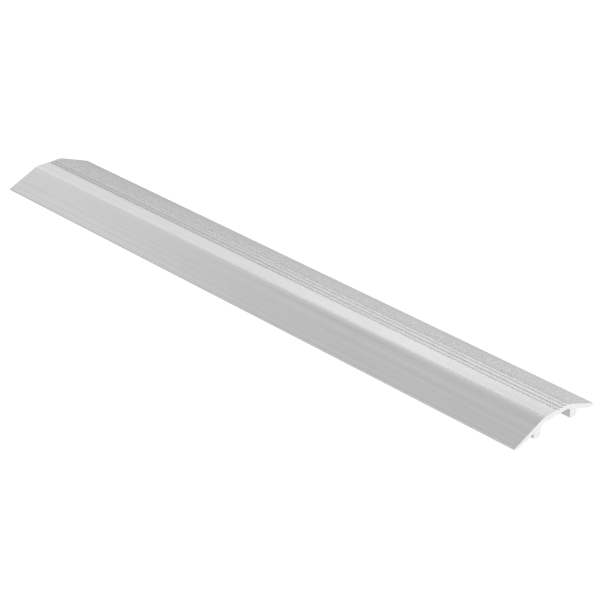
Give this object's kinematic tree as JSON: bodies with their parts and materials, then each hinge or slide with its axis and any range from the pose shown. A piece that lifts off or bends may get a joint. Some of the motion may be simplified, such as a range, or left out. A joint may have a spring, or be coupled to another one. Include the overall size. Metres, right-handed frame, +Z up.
{
  "type": "threshold strip",
  "caption": "Aluminium door threshold strip: low double ramp on two legs, front half smooth, crown and back ramp ribbed for grip.",
  "frame": {"origin": "on the floor, under the middle of the strip", "axes": "+X along the strip, +Y across it towards the ribbed back ramp, +Z up"},
  "size_m": [0.914, 0.136, 0.0216],
  "materials": {
    "extruded_aluminium": "mill finish with fine extrusion lines along the strip, sawn ends"
  },
  "bodies": {
    "root": {"threshold_profile": "extruded_aluminium"}
  },
  "joints": []
}
